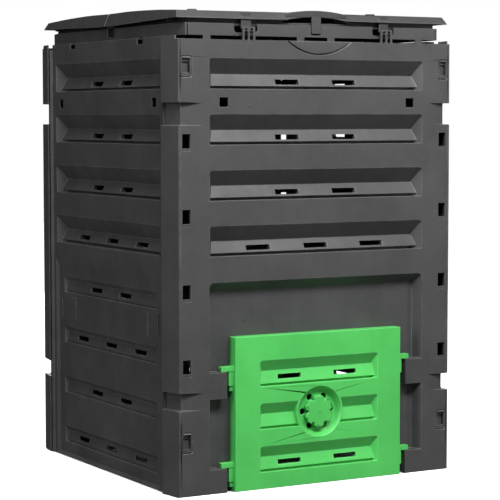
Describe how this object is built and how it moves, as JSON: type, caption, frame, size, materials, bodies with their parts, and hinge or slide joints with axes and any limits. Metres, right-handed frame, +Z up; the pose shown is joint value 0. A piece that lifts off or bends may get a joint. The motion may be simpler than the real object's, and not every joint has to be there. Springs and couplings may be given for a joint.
{
  "type": "panel compost bin",
  "caption": "Square stationary garden compost bin of ribbed, vented panels with a two-leaf lid on a collar and a lift-up hatch with a rotary vent.",
  "frame": {"origin": "centre of the footprint of the box round the closed bin, on the ground", "axes": "+Z up, -Y towards the hatch side, +X to the right seen from the hatch side"},
  "size_m": [0.6, 0.6046, 0.875],
  "materials": {
    "black_plastic": "fine moulded texture, satin",
    "green_plastic": "smooth satin"
  },
  "bodies": {
    "frame": {"front_wall": "black_plastic", "back_wall": "black_plastic", "left_wall": "black_plastic", "right_wall": "black_plastic", "corner_keys": "black_plastic", "collar_front": "black_plastic", "collar_back": "black_plastic", "collar_left": "black_plastic", "collar_right": "black_plastic", "centre_bar": "black_plastic", "hinge_pin_front": "black_plastic", "hinge_pin_rear": "black_plastic"},
    "leaf_front": {"lid_front": "black_plastic", "latch_front": "black_plastic"},
    "leaf_rear": {"lid_rear": "black_plastic", "latch_rear": "black_plastic"},
    "hatch": {"hatch": "green_plastic"},
    "vent": {"vent_knob": "green_plastic", "vent_shutter": "green_plastic", "vent_clip": "green_plastic"}
  },
  "joints": [
    {"name": "lid_front_hinge", "type": "hinge", "parent": "frame", "child": "leaf_front", "pos_m": [0, -0.01, 0.8627], "axis": [-1, 0, 0], "range_deg": [0, 85]},
    {"name": "lid_rear_hinge", "type": "hinge", "parent": "frame", "child": "leaf_rear", "pos_m": [0, 0.0134, 0.8627], "axis": [1, 0, 0], "range_deg": [0, 85]},
    {"name": "hatch_lift", "type": "slide", "parent": "frame", "child": "hatch", "axis": [0, 0, 1], "range_m": [0, 0.075]},
    {"name": "vent_turn", "type": "hinge", "parent": "hatch", "child": "vent", "pos_m": [0, -0.2983, 0.13454], "axis": [0, -1, 0], "continuous": true}
  ]
}
